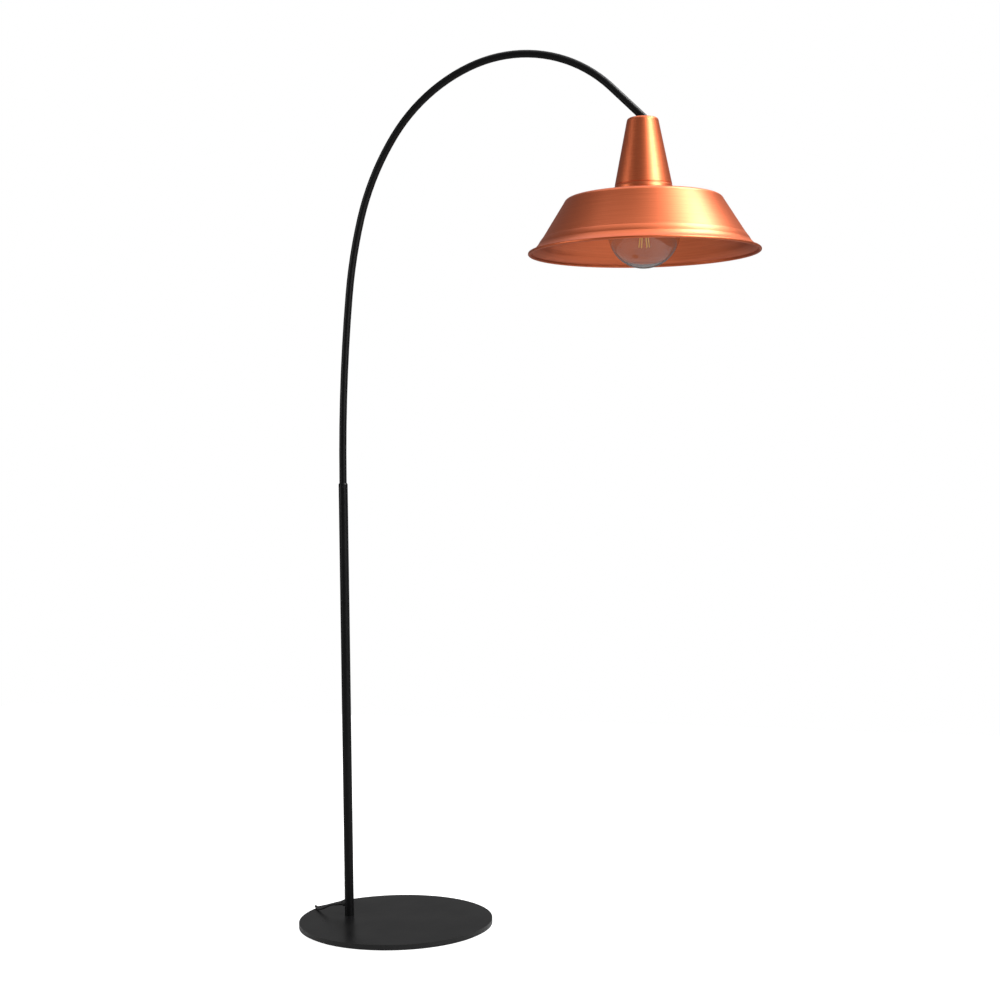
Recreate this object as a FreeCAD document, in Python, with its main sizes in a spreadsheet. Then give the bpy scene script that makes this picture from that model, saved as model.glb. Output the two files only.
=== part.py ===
"""Arc floor lamp: a steel disc base, an upright pole, a bent swivelling arm, a spun copper shade
with a globe bulb, and a mains lead with a switch and a plug.

Frame: origin on the floor under the middle of the base disc, +X the way the arm reaches, +Z up.
All lengths are millimetres. The driving dimensions are the cells of the sheet "Sizes".
"""
import FreeCAD, Part
import math
import os
from FreeCAD import Placement, Rotation, Vector

DOC = FreeCAD.newDocument("ArcFloorLamp")
UP = Vector(0, 0, 1)
WHOLE_TURN = 360.0

# ---------------------------------------------------------------- driving dimensions
DIMENSIONS = (
    ("plate_dia", 420.0), ("plate_thick", 10.0), ("plate_edge", 0.8),
    ("felt_thick", 3.0), ("felt_inset", 6.0),
    ("pole_offset", 110.0), ("pole_dia", 20.0), ("pole_bore", 16.1), ("pole_top", 962.5),
    ("pole_edge", 1.6),
    ("bolt_dia", 10.0), ("bolt_hole", 10.6), ("bolt_head_dia", 16.0), ("bolt_head_high", 3.6),
    ("bolt_long", 20.0), ("bolt_key", 6.0), ("sink_dia", 22.0), ("sink_deep", 5.0),
    ("washer_thick", 1.0), ("foot_plug_long", 16.0),
    ("arm_dia", 16.0), ("arm_bore", 13.0), ("arm_insert", 80.0),
    ("stop_bore", 10.0), ("stop_long", 8.0), ("thrust_dia", 15.8), ("thrust_thick", 1.5),
    ("grub_dia", 5.0), ("grub_below", 8.5), ("grub_key", 2.5), ("grub_turn", -62.0),
    ("arm_reach", 682.0), ("arm_meet", 1709.5), ("seat_level", 1706.0), ("seat_dia", 23.4), ("seat_thick", 2.0),
    ("bend1_rad", 3850.0), ("bend1_turn", 6.0), ("bend2_rad", 1060.0), ("bend2_turn", 9.0),
    ("bend3_rad", 550.0), ("bend3_turn", 20.0), ("bend4_rad", 364.0), ("bend4_turn", 35.0),
    ("bend5_rad", 296.0), ("bend5_turn", 65.0),
    ("stem_dia", 10.0), ("stem_bore", 7.0), ("stem_long", 100.0),
    ("nut_flats", 14.0), ("nut_high", 4.0),
    ("neck_wall", 1.2), ("neck_top_rad", 31.7), ("neck_foot_rad", 59.0), ("neck_high", 154.5),
    ("neck_round", 7.0), ("neck_lip_rad", 44.0), ("neck_bead", 17.5),
    ("shade_wall", 1.5), ("shade_rim_level", 1430.2), ("shade_rim_rad", 240.0), ("rim_roll", 6.0),
    ("shade_hole_rad", 42.0), ("rivet_ring", 50.0), ("rivet_dia", 4.0),
    ("holder_dia", 39.0), ("holder_bore", 32.0), ("holder_long", 38.0),
    ("shell_dia", 28.0), ("shell_bore", 26.9), ("shell_long", 24.0),
    ("cap_dia", 26.4), ("cap_long", 25.0), ("globe_dia", 150.0), ("globe_level", 1472.0),
    ("glass_wall", 1.0), ("filament_dia", 1.8), ("filament_long", 52.0),
    ("lead_dia", 5.0), ("outlet_level", 38.5), ("outlet_hole", 9.0),
    ("gland_dia", 13.0), ("gland_flange", 2.0), ("gland_nut_dia", 12.0), ("gland_nut_high", 3.0),
    ("boot_long", 20.0), ("boot_dia", 8.6), ("boot_sag", 10.0), ("cord_dia", 5.0),
    ("lay_turn", 113.6), ("hank_run", 80.0), ("hank_inner_rad", 15.0), ("hank_pitch", 5.2),
    ("hank_start", 185.0), ("hank_tie_thick", 1.2), ("hank_tie_wide", 10.0),
    ("switch_start", 313.0), ("switch_long", 52.0), ("switch_wide", 18.6), ("switch_high", 14.0),
    ("rocker_long", 15.0), ("rocker_wide", 8.6), ("rocker_tilt", 7.0), ("rocker_gap", 0.6),
    ("plug_start", 417.0), ("plug_thick", 13.7), ("plug_wide", 35.3), ("plug_long", 36.0),
    ("pin_dia", 4.0), ("pin_long", 19.0), ("pin_pitch", 18.6),
)

SHEET = DOC.addObject("Spreadsheet::Sheet", "Sizes")
for row, (alias, value) in enumerate(DIMENSIONS, start=1):
    SHEET.set("A%d" % row, alias.replace("_", " "))
    SHEET.set("B%d" % row, str(value))
    SHEET.setAlias("B%d" % row, alias)
DOC.recompute()


def size(alias):
    """The value of one cell of the sheet."""
    return float(SHEET.get(alias))


# ---------------------------------------------------------------- building helpers
PARTS = []


def keep(obj, label):
    """Mark a finished sub-part and give it the name of its file."""
    obj.Label = label
    PARTS.append(obj)
    return obj


def bind(obj, **formulas):
    """Tie properties to cells; a double underscore stands for a dot in the property's path."""
    for path, formula in formulas.items():
        obj.setExpression(path.replace("__", "."), formula)
    return obj


def cylinder(name, radius, height, x="0", y="0", z="0", turn=None):
    """Part cylinder with its sizes and place tied to the sheet; turn points its axis."""
    obj = DOC.addObject("Part::Cylinder", name)
    bind(obj, Radius=radius, Height=height)
    if turn is not None:
        obj.Placement = Placement(Vector(0, 0, 0), turn)
    bind(obj, Placement__Base__x=x, Placement__Base__y=y, Placement__Base__z=z)
    return obj


def cut(name, base, tool):
    obj = DOC.addObject("Part::Cut", name)
    obj.Base = base
    obj.Tool = tool
    return obj


def fuse(name, *shapes):
    obj = DOC.addObject("Part::MultiFuse", name)
    obj.Shapes = list(shapes)
    return obj


def tube(label, outer, inner, height, x="0", z="0"):
    """A plain ring or tube standing on the Z axis direction."""
    wall = cylinder(label + "_wall", outer, height, x=x, z=z)
    bore = cylinder(label + "_bore", inner, height, x=x, z=z)
    return keep(cut(label + "_ring", wall, bore), label)


def feature(label, shape):
    """A sub-part whose shape is worked out directly."""
    obj = DOC.addObject("Part::Feature", label)
    obj.Shape = shape
    return keep(obj, label)


def plane_of(body, role):
    """One of a body's own origin planes."""
    for item in body.Origin.OriginFeatures:
        if item.Role == role:
            return item
    raise ValueError(role)


def circle_sketch(body, name, centre, diameter, level, extra=None):
    """A sketch of one circle (and perhaps an inner one) on the body's floor plane."""
    import Sketcher
    sketch = body.newObject("Sketcher::SketchObject", name)
    sketch.AttachmentSupport = (plane_of(body, "XY_Plane"), [""])
    sketch.MapMode = "FlatFace"
    sketch.setExpression("AttachmentOffset.Base.z", level)
    for formula in (diameter, extra):
        if formula is None:
            continue
        index = sketch.addGeometry(Part.Circle(Vector(-1, 0, 0), UP, 5.0), False)
        across = sketch.addConstraint(Sketcher.Constraint("Diameter", index, 10.0))
        sketch.setExpression("Constraints[%d]" % across, formula)
        sketch.addConstraint(Sketcher.Constraint("PointOnObject", index, 3, -1))
        along = sketch.addConstraint(Sketcher.Constraint("DistanceX", index, 3, -1, 1, 1.0))
        sketch.setExpression("Constraints[%d]" % along, centre)
    return sketch


def new_body(label):
    body = DOC.addObject("PartDesign::Body", label)
    return keep(body, label)


def pad(body, sketch, length):
    obj = body.newObject("PartDesign::Pad", sketch.Name + "_pad")
    obj.Profile = sketch
    obj.setExpression("Length", length)
    DOC.recompute()
    return obj


def pocket(body, sketch, length):
    """Cut upwards from the sketch's plane, and check that metal really went."""
    before = body.Shape.Volume
    obj = body.newObject("PartDesign::Pocket", sketch.Name + "_pocket")
    obj.Profile = sketch
    obj.Reversed = True
    obj.setExpression("Length", length)
    DOC.recompute()
    if body.Shape.Volume > before - 1.0:
        raise ValueError("%s cuts nothing" % obj.Name)
    return obj


def outline(points):
    """Wire in the XZ plane through (r, z) points; a third item makes that leg an arc by way of it.

    Each entry is (r, z) for a straight leg, or (r, z, (mid_r, mid_z)) for a round one.
    """
    edges = []
    last = Vector(points[0][0], 0, points[0][1])
    for entry in points[1:]:
        here = Vector(entry[0], 0, entry[1])
        if len(entry) == 3:
            middle = Vector(entry[2][0], 0, entry[2][1])
            edges.append(Part.Arc(last, middle, here).toShape())
        else:
            edges.append(Part.LineSegment(last, here).toShape())
        last = here
    return Part.Wire(edges)


def turned(points, x):
    """Solid of revolution of a closed (r, z) outline about the upright line at x."""
    wire = outline(points + [points[0][:2]])
    solid = Part.Face(wire).revolve(Vector(0, 0, 0), UP, WHOLE_TURN)
    solid = Part.Solid(solid.Shells[0]) if solid.ShapeType != "Solid" else solid
    if solid.Volume < 0:
        solid.reverse()
    solid.translate(Vector(x, 0, 0))
    return solid


def leg_centre(first, middle, last):
    """Centre of the circle through three (r, z) points."""
    arc = Part.Arc(*[Vector(point[0], 0, point[1]) for point in (first, middle, last)])
    return arc.toShape().Curve.Center


def leg_directions(first, leg):
    """Unit directions of a straight or round leg at its start and at its end."""
    start = Vector(first[0], 0, first[1])
    end = Vector(leg[0], 0, leg[1])
    if len(leg) < 3:
        straight = (end - start).normalize()
        return straight, straight
    middle = Vector(leg[2][0], 0, leg[2][1])
    centre = leg_centre(first, leg[2], leg)
    sense = (middle - start).cross(end - middle).y
    around = Vector(0, 1 if sense > 0 else -1, 0)
    return around.cross(start - centre).normalize(), around.cross(end - centre).normalize()


def spun(points, wall, x):
    """Spun sheet metal: the outer outline, read from the top down, thickened to its inner side."""
    directions = [leg_directions(points[k], points[k + 1]) for k in range(len(points) - 1)]
    inner = []
    for k, point in enumerate(points):
        before = directions[k - 1][1] if k > 0 else directions[0][0]
        after = directions[k][0] if k < len(directions) else directions[-1][1]
        mean = (before + after).normalize()
        inward = Vector(mean.z, 0, -mean.x)
        deep = wall / max(0.5, mean.dot(after))
        here = (point[0] + inward.x * deep, point[1] + inward.z * deep)
        if len(point) == 3:
            centre = leg_centre(points[k - 1], point[2], point)
            middle = Vector(point[2][0], 0, point[2][1])
            across = (middle - centre).normalize()
            chord = Vector(point[0] - points[k - 1][0], 0, point[1] - points[k - 1][1])
            if across.dot(Vector(chord.z, 0, -chord.x)) < 0:
                across = across * -1.0
            middle = middle + across * wall
            inner.append((here, (middle.x, middle.z)))
        else:
            inner.append((here, None))
    back = [inner[-1][0]]
    for k in range(len(inner) - 1, 0, -1):
        end = inner[k - 1][0]
        via = inner[k][1]
        back.append((end[0], end[1], via) if via else end)
    return turned(points + back, x)


def solid_of(shape):
    """The single solid of a shape, tidied."""
    if len(shape.Solids) != 1:
        raise ValueError("expected one solid, found %d" % len(shape.Solids))
    return shape.Solids[0]


def along(axis):
    """Rotation that turns +Z to the given direction."""
    return Rotation(UP, axis)


# ---------------------------------------------------------------- base
def make_base():
    body = new_body("base_plate")
    disc = circle_sketch(body, "plate_outline", "0 mm", "Sizes.plate_dia", "Sizes.felt_thick")
    pad(body, disc, "Sizes.plate_thick")
    sink = circle_sketch(body, "bolt_sink", "Sizes.pole_offset", "Sizes.sink_dia", "Sizes.felt_thick")
    pocket(body, sink, "Sizes.sink_deep")
    hole = circle_sketch(body, "bolt_way", "Sizes.pole_offset", "Sizes.bolt_hole", "Sizes.felt_thick")
    pocket(body, hole, "Sizes.plate_thick")
    rim = size("plate_dia") / 2
    rims = []
    for index, edge in enumerate(body.Shape.Edges, start=1):
        round_edge = edge.Curve.TypeId == "Part::GeomCircle"
        if round_edge and abs(edge.Curve.Radius - rim) < 0.01:
            rims.append("Edge%d" % index)
    easing = body.newObject("PartDesign::Chamfer", "plate_easing")
    easing.Base = (body.Tip, rims)
    easing.setExpression("Size", "Sizes.plate_edge")
    body.Tip = easing

    felt = new_body("felt_underlay")
    sheet = circle_sketch(felt, "felt_outline", "0 mm", "Sizes.plate_dia - 2 * Sizes.felt_inset", "0 mm")
    pad(felt, sheet, "Sizes.felt_thick")


def make_pole_fixing():
    x = "-Sizes.pole_offset"
    seat = "Sizes.felt_thick + Sizes.sink_deep"
    under = seat + " - Sizes.washer_thick"
    tube("bolt_washer", "Sizes.bolt_head_dia / 2 + 2", "Sizes.bolt_hole / 2", "Sizes.washer_thick", x, under)
    head = cylinder("bolt_head", "Sizes.bolt_head_dia / 2", "Sizes.bolt_head_high",
                    x=x, z=under + " - Sizes.bolt_head_high")
    shank = cylinder("bolt_shank", "Sizes.bolt_dia / 2", "Sizes.bolt_long", x=x, z=under)
    socket = DOC.addObject("Part::Prism", "bolt_socket")
    bind(socket, Circumradius="Sizes.bolt_key / 1.732", Height="Sizes.bolt_head_high * 0.6",
         Placement__Base__x=x, Placement__Base__z=under + " - Sizes.bolt_head_high")
    keep(cut("bolt_cut", fuse("bolt_blank", head, shank), socket), "pole_bolt")
    base_top = "Sizes.felt_thick + Sizes.plate_thick"
    tube("pole_foot_plug", "Sizes.pole_bore / 2", "Sizes.bolt_dia / 2", "Sizes.foot_plug_long", x, base_top)


# ---------------------------------------------------------------- upright pole
def make_pole():
    x = "-Sizes.pole_offset"
    base_top = "Sizes.felt_thick + Sizes.plate_thick"
    tall = "Sizes.pole_top - (%s)" % base_top
    wall = cylinder("pole_wall", "Sizes.pole_dia / 2", tall, x=x, z=base_top)
    eased = DOC.addObject("Part::Chamfer", "pole_eased")
    DOC.recompute()
    eased.Base = wall
    top_edges = []
    for index, edge in enumerate(wall.Shape.Edges, start=1):
        if abs(edge.CenterOfMass.z - size("pole_top")) < 0.01:
            top_edges.append((index, size("pole_edge") * 1.6, size("pole_edge")))
    eased.Edges = top_edges
    bore = cylinder("pole_bore_way", "Sizes.pole_bore / 2", tall, x=x, z=base_top)
    outlet = cylinder("outlet_way", "Sizes.outlet_hole / 2", "Sizes.pole_dia",
                      x=x, z="Sizes.outlet_level", turn=along(Vector(-1, 0, 0)))
    turn = math.radians(size("grub_turn"))
    aim = along(Vector(math.cos(turn), math.sin(turn), 0))
    level = "Sizes.pole_top - Sizes.grub_below"
    grub_way = cylinder("grub_way", "Sizes.grub_dia / 2", "Sizes.pole_dia", x=x, z=level, turn=aim)
    keep(cut("pole_cut", eased, fuse("pole_ways", bore, outlet, grub_way)), "lower_pole")

    stop_level = "Sizes.pole_top - Sizes.arm_insert - Sizes.thrust_thick - Sizes.stop_long"
    tube("stop_collar", "Sizes.pole_bore / 2", "Sizes.stop_bore / 2", "Sizes.stop_long", x, stop_level)
    tube("thrust_washer", "Sizes.thrust_dia / 2", "Sizes.stop_bore / 2 + 0.3", "Sizes.thrust_thick", x,
         stop_level + " + Sizes.stop_long")

    # set screw that clamps the arm, flush in the wall near the pole's top
    near = size("arm_dia") / 2 + 0.06
    far = size("pole_dia") / 2 - 0.1
    start = Vector(-size("pole_offset"), 0, size("pole_top") - size("grub_below"))
    point = Vector(math.cos(turn), math.sin(turn), 0)
    body = Part.makeCylinder(size("grub_dia") / 2, far - near, start + point * near, point)
    corner = size("grub_key") / math.sqrt(3)
    key = Part.makeCylinder(corner, 1.1, start + point * (far - 1.1), point)
    feature("arm_set_screw", solid_of(body.cut(key)))


# ---------------------------------------------------------------- cord outlet on the pole
def make_gland():
    back = Vector(-1, 0, 0)
    axis = Vector(-size("pole_offset"), 0, size("outlet_level"))
    skin = size("pole_dia") / 2
    way = size("cord_dia") / 2
    flange_far = skin + size("gland_flange")
    nut_far = flange_far + size("gland_nut_high")
    flange = Part.makeCylinder(size("gland_dia") / 2, flange_far - skin + 3.0, axis + back * (skin - 3.0), back)
    pole = Part.makeCylinder(skin, 40.0, axis - UP * 20.0)
    flange = flange.cut(pole)
    spigot = Part.makeCylinder(size("outlet_hole") / 2, skin - 5.0, axis + back * 7.0, back)
    bore = Part.makeCylinder(way, 30.0, axis, back)
    feature("gland_body", solid_of(flange.fuse(spigot).cut(bore).removeSplitter()))
    nut = Part.makeCylinder(size("gland_nut_dia") / 2, nut_far - flange_far, axis + back * flange_far, back)
    nut = nut.makeChamfer(0.7, nut.Edges[:1] + nut.Edges[2:3])
    feature("gland_nut", solid_of(nut.cut(bore)))
    sag = math.radians(size("boot_sag"))
    droop = Vector(-math.cos(sag), 0, -math.sin(sag))
    root = axis + back * nut_far
    boot = Part.makeCone(size("boot_dia") / 2, way + 0.7, size("boot_long"), root, droop)
    heel = Part.makeSphere(size("boot_dia") / 2, root)
    long_bore = Part.makeCylinder(way, size("boot_long") + 10.0, root - droop * 5.0, droop)
    boot = boot.fuse(heel).cut(long_bore).cut(Part.makeBox(40, 40, 40, root + Vector(0, -20, -20)))
    feature("strain_relief", solid_of(boot.cut(bore.common(heel))))


# ---------------------------------------------------------------- bent arm
def arm_edges():
    """Centreline of the arm from its lower end: upright, five bends, then straight to the seat."""
    bends = [(size("bend%d_rad" % k), math.radians(size("bend%d_turn" % k))) for k in range(1, 6)]
    heading = math.pi / 2
    x = z = 0.0
    legs = []
    for radius, turn in bends:
        middle = heading - turn / 2
        after = heading - turn
        centre = (x + radius * math.sin(heading), z - radius * math.cos(heading))
        mid = (centre[0] - radius * math.sin(middle), centre[1] + radius * math.cos(middle))
        end = (centre[0] - radius * math.sin(after), centre[1] + radius * math.cos(after))
        legs.append(((x, z), mid, end))
        x, z = end
        heading = after
    # the last straight leg and the upright take up what the bends leave
    last = (size("arm_reach") - x) / math.cos(heading)
    rise = size("arm_meet") - (z + last * math.sin(heading))
    start = -size("pole_offset")

    def at(point):
        return Vector(start + point[0], 0, rise + point[1])

    lower = size("pole_top") - size("arm_insert")
    edges = [Part.LineSegment(Vector(start, 0, lower), at((0, 0))).toShape()]
    for first, mid, end in legs:
        edges.append(Part.Arc(at(first), at(mid), at(end)).toShape())
    tip = (x + last * math.cos(heading), z + last * math.sin(heading))
    aim = Vector(math.cos(heading), 0, math.sin(heading))
    print("arm: upright to z=%.1f, last straight %.1f, slope %.1f deg" % (
        rise, last, math.degrees(heading)))
    return edges, at((x, z)), at(tip), aim


def swept(edges, radius):
    """Round bar along tangent edges."""
    first = edges[0]
    start = first.valueAt(first.FirstParameter)
    tangent = first.tangentAt(first.FirstParameter)
    circle = Part.Wire(Part.Circle(start, tangent, radius).toShape())
    bar = Part.Wire(edges).makePipeShell([circle], True, True)
    return bar


def make_arm():
    edges, bend_end, tip, aim = arm_edges()
    spare = 20.0
    full = edges + [Part.LineSegment(bend_end, tip + aim * spare).toShape()]
    outer = swept(full, size("arm_dia") / 2)
    inner = swept(full, size("arm_bore") / 2)
    seat_top = size("seat_level") + size("seat_thick")
    below = Part.makeBox(200, 200, 200, Vector(tip.x - 100, -100, seat_top - 200))
    shape = outer.cut(inner).cut(below)
    feature("arm_tube", solid_of(shape))
    x = "Sizes.arm_reach - Sizes.pole_offset"
    tube("arm_seat", "Sizes.seat_dia / 2", "Sizes.stem_dia / 2", "Sizes.seat_thick", x, "Sizes.seat_level")

    # the lead follows the arm and drops through the stem to the lampholder
    radius = size("lead_dia") / 2
    along_arm = swept(edges + [Part.LineSegment(bend_end, tip).toShape()], radius)
    foot = Vector(tip.x, 0, seat_top - size("stem_long") + 4.0)
    drop = Part.makeCylinder(radius, tip.z - foot.z + 1.0, foot, UP)
    sleeve_long = size("stem_long") + 1.0
    sleeve_foot = Vector(tip.x, 0, seat_top - sleeve_long)
    sleeve = Part.makeCylinder(size("seat_dia") / 2 + 1.0, sleeve_long, sleeve_foot, UP)
    sleeve = sleeve.cut(Part.makeCylinder(size("stem_bore") / 2, sleeve_long, sleeve_foot, UP))
    feature("arm_lead", solid_of(along_arm.fuse(drop).cut(sleeve)))


def make_pole_lead():
    """Lead from the back of the strain relief through the gland and up inside the pole."""
    x = -size("pole_offset")
    turn = 5.0
    reach = size("pole_dia") / 2 + size("gland_flange") + size("gland_nut_high")
    level = size("outlet_level")
    radius = size("lead_dia") / 2
    top = size("pole_top") - size("arm_insert")
    start = Vector(x - reach, 0, level)
    bend_in = Vector(x - turn, 0, level)
    bend_out = Vector(x, 0, level + turn)
    mid = Vector(x - turn + turn * math.sin(math.pi / 4), 0, level + turn - turn * math.cos(math.pi / 4))
    edges = [Part.LineSegment(start, bend_in).toShape(), Part.Arc(bend_in, mid, bend_out).toShape(),
             Part.LineSegment(bend_out, Vector(x, 0, top)).toShape()]
    feature("pole_lead", solid_of(swept(edges, radius)))


# ---------------------------------------------------------------- shade
def hex_nut(label, level, x):
    nut = DOC.addObject("Part::Prism", label + "_hex")
    bind(nut, Circumradius="Sizes.nut_flats / 1.732", Height="Sizes.nut_high",
         Placement__Base__x=x, Placement__Base__z=level)
    way = cylinder(label + "_way", "Sizes.stem_dia / 2", "Sizes.nut_high", x=x, z=level)
    return keep(cut(label + "_cut", nut, way), label)


def make_stem():
    x = "Sizes.arm_reach - Sizes.pole_offset"
    top = "Sizes.seat_level + Sizes.seat_thick"
    tube("holder_stem", "Sizes.stem_dia / 2", "Sizes.stem_bore / 2", "Sizes.stem_long", x,
         top + " - Sizes.stem_long")
    neck_under = "Sizes.seat_level - Sizes.neck_wall"
    tube("lock_washer", "Sizes.nut_flats / 2 + 2", "Sizes.stem_dia / 2", "Sizes.washer_thick", x,
         neck_under + " - Sizes.washer_thick")
    hex_nut("neck_nut", neck_under + " - Sizes.washer_thick - Sizes.nut_high", x)


def rivet_places():
    """Feet of the three rivets' axes."""
    x = size("arm_reach") - size("pole_offset")
    turns = [math.radians(step * 120.0) for step in range(3)]
    return [Vector(x + size("rivet_ring") * math.cos(t), size("rivet_ring") * math.sin(t), 0) for t in turns]


def drilled(shape, level):
    """A shape with the three rivet holes through it near a level."""
    for place in rivet_places():
        shape = shape.cut(Part.makeCylinder(size("rivet_dia") / 2, 12.0, place + UP * (level - 6.0)))
    return solid_of(shape)


def make_neck():
    """Tall cone with a rounded top, a bead round its foot and a lip turned in under it."""
    x = size("arm_reach") - size("pole_offset")
    top = size("seat_level")
    foot = top - size("neck_high")
    bead = size("neck_bead")
    corner = size("neck_round")
    slope = math.atan2(size("neck_foot_rad") - size("neck_top_rad"), size("neck_high") - bead)
    shift = corner * math.tan((math.pi / 2 - slope) / 2)
    side = Vector(math.sin(slope), 0, -math.cos(slope))
    rim = Vector(size("neck_top_rad"), 0, top)
    turn_in = rim - Vector(shift, 0, 0)
    turn_out = rim + side * shift
    centre = turn_in - Vector(0, 0, corner)
    half = (math.pi / 2 - slope) / 2 + slope
    mid = centre + Vector(math.cos(half), 0, math.sin(half)) * corner
    foot_rad = size("neck_foot_rad")
    points = [(size("stem_dia") / 2, top), (turn_in.x, top),
              (turn_out.x, turn_out.z, (mid.x, mid.z)),
              (foot_rad, foot + bead),
              (foot_rad, foot + bead - 2.4, (foot_rad - 0.7, foot + bead - 1.2)),
              (foot_rad + 0.3, foot, (foot_rad + 1.5, foot + bead / 2 - 1.2)),
              (size("neck_lip_rad"), foot)]
    feature("shade_neck", drilled(spun(points, size("neck_wall"), x), foot))
    return foot


def make_bowl(neck_foot):
    """Shallow top, rounded shoulder, steep skirt, rolled step and a wide turned-out lip."""
    x = size("arm_reach") - size("pole_offset")
    roll = size("rim_roll") / 2
    rim = size("shade_rim_rad")
    level = size("shade_rim_level") - roll
    points = [(size("shade_hole_rad"), neck_foot), (66.0, neck_foot),
              (153.0, level + 114.2, (111.0, level + 121.2)),
              (165.5, level + 106.0, (161.2, level + 111.4)),
              (206.2, level + 42.6),
              (221.5, level + 22.3, (215.6, level + 33.6)),
              (223.0, level + 20.0),
              (rim - roll, level + 2 * roll - 0.2, (229.0, level + 11.8))]
    bowl = spun(points, size("shade_wall"), x)
    lip = Part.makeTorus(rim - roll, roll, Vector(x, 0, level + roll))
    feature("shade_bowl", drilled(bowl.fuse(lip), neck_foot))


def make_rivets(neck_foot):
    """Three tubular rivets that hold the bowl under the neck's inward lip."""
    above = neck_foot + size("neck_wall")
    below = neck_foot - size("shade_wall")
    for step, place in enumerate(rivet_places(), start=1):
        shank = Part.makeCylinder(size("rivet_dia") / 2, above - below, place + UP * below)
        head = Part.makeCylinder(size("rivet_dia"), 1.0, place + UP * above)
        tail = Part.makeCylinder(size("rivet_dia") * 0.8, 1.0, place + UP * (below - 1.0))
        feature("shade_rivet_%d" % step, solid_of(shank.fuse(head).fuse(tail).removeSplitter()))


# ---------------------------------------------------------------- lampholder and bulb
def make_holder():
    x = size("arm_reach") - size("pole_offset")
    foot = size("seat_level") + size("seat_thick") - size("stem_long")
    radius = size("holder_dia") / 2
    stem = size("stem_dia") / 2
    cap = [(stem, foot), (stem, foot + 12.0), (stem + 3.0, foot + 12.0), (stem + 3.0, foot + 6.0),
           (radius, foot - 4.0, (radius - 3.0, foot + 3.0)), (radius, foot - 8.0),
           (radius - 1.6, foot - 8.0), (radius - 1.6, foot - 3.0), (stem + 1.0, foot - 3.0),
           (stem + 1.0, foot)]
    feature("holder_cap", turned(cap, x))
    body_top = foot - 8.0
    body_low = body_top - size("holder_long")
    skirt = [(size("holder_bore") / 2, body_low), (radius - 1.0, body_low), (radius, body_low + 1.0),
             (radius, body_top), (size("holder_bore") / 2, body_top)]
    feature("holder_skirt", turned(skirt, x))
    insert = [(0.0, body_top - 9.0), (size("holder_bore") / 2, body_top - 9.0),
              (size("holder_bore") / 2, body_top), (12.0, body_top + 4.4), (0.0, body_top + 4.4)]
    feature("holder_insert", turned(insert, x))
    shell_top = body_top - 9.0
    shell = [(size("shell_bore") / 2, shell_top - size("shell_long")),
             (size("shell_dia") / 2, shell_top - size("shell_long")), (size("shell_dia") / 2, shell_top),
             (size("shell_bore") / 2, shell_top)]
    feature("screw_shell", turned(shell, x))
    contact = Part.makeBox(14.0, 5.0, 0.6, Vector(x - 8.0, -2.5, shell_top - 2.0))
    post = Part.makeBox(2.0, 5.0, 1.4, Vector(x - 8.0, -2.5, shell_top - 1.4))
    feature("centre_contact", solid_of(contact.fuse(post).removeSplitter()))
    return shell_top


def make_bulb(shell_top):
    x = size("arm_reach") - size("pole_offset")
    radius = size("globe_dia") / 2
    centre = size("globe_level")
    tip_top = shell_top - 2.2
    cap_top = tip_top - 3.0
    cap_low = cap_top - size("cap_long")
    cap_rad = size("cap_dia") / 2
    cap = [(cap_rad - 0.5, cap_low), (cap_rad, cap_low), (cap_rad, cap_top - 2.0), (cap_rad - 3.0, cap_top),
           (5.4, cap_top), (5.4, cap_top - 0.5), (cap_rad - 3.2, cap_top - 0.5),
           (cap_rad - 0.5, cap_top - 2.2)]
    feature("bulb_cap", turned(cap, x))
    tip = [(0.0, cap_top - 1.5), (5.3, cap_top - 1.5), (5.3, cap_top), (3.8, tip_top), (0.0, tip_top)]
    feature("bulb_tip", turned(tip, x))
    # the globe: a sphere drawn up into a short waist that is cemented in the cap
    neck = cap_rad - 0.6
    low_turn = math.radians(-90.0)
    high_turn = math.radians(62.0)
    mid_turn = (low_turn + high_turn) / 2
    leave = (radius * math.cos(high_turn), centre + radius * math.sin(high_turn))
    middle = (radius * math.cos(mid_turn), centre + radius * math.sin(mid_turn))
    waist_low = cap_low - 4.0
    waist_mid = ((leave[0] + neck) / 2 - 4.3, (leave[1] + waist_low) / 2 - 2.0)
    points = [(0.01, centre - radius), (leave[0], leave[1], middle),
              (neck, waist_low, waist_mid), (neck, cap_low + 8.0)]
    glass = outline(points).makeOffset2D(size("glass_wall"), 0, True, True)
    globe = glass.revolve(Vector(0, 0, 0), UP, WHOLE_TURN)
    globe.translate(Vector(x, 0, 0))
    feature("bulb_glass", solid_of(globe))

    # glass mount down the middle, and the sticks that hang round it
    mount_low = centre + 20.0
    mount = [(0.0, mount_low), (2.6, mount_low), (3.2, mount_low + 24.0), (8.0, cap_low + 5.0),
             (8.0, cap_low + 7.0), (0.0, cap_low + 7.0)]
    feature("bulb_mount", turned(mount, x))
    sticks = 6
    for step in range(sticks):
        turn = math.radians(step * WHOLE_TURN / sticks + 15.0)
        out = Vector(math.cos(turn), math.sin(turn), 0)
        head = Vector(x, 0, mount_low - 2.0) + out * 4.6
        foot = Vector(x, 0, mount_low - size("filament_long")) + out * 11.0
        run = foot - head
        stick = Part.makeCylinder(size("filament_dia") / 2, run.Length, head, run)
        hook = Part.makeCylinder(0.3, 6.0, head + UP * 3.6 - out * 2.5, run * 1.0 + out * 8.0 - UP * 2.0)
        feature("filament_%d" % (step + 1), solid_of(stick.fuse(hook)))


# ---------------------------------------------------------------- mains cord
def behind(along_lay, aside, level):
    """Point on the floor line that runs back from the pole, by distance along and to the side."""
    turn = math.radians(size("lay_turn"))
    x = -size("pole_offset") + along_lay * math.cos(turn) - aside * math.sin(turn)
    y = along_lay * math.sin(turn) + aside * math.cos(turn)
    return Vector(x, y, level)


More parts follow.
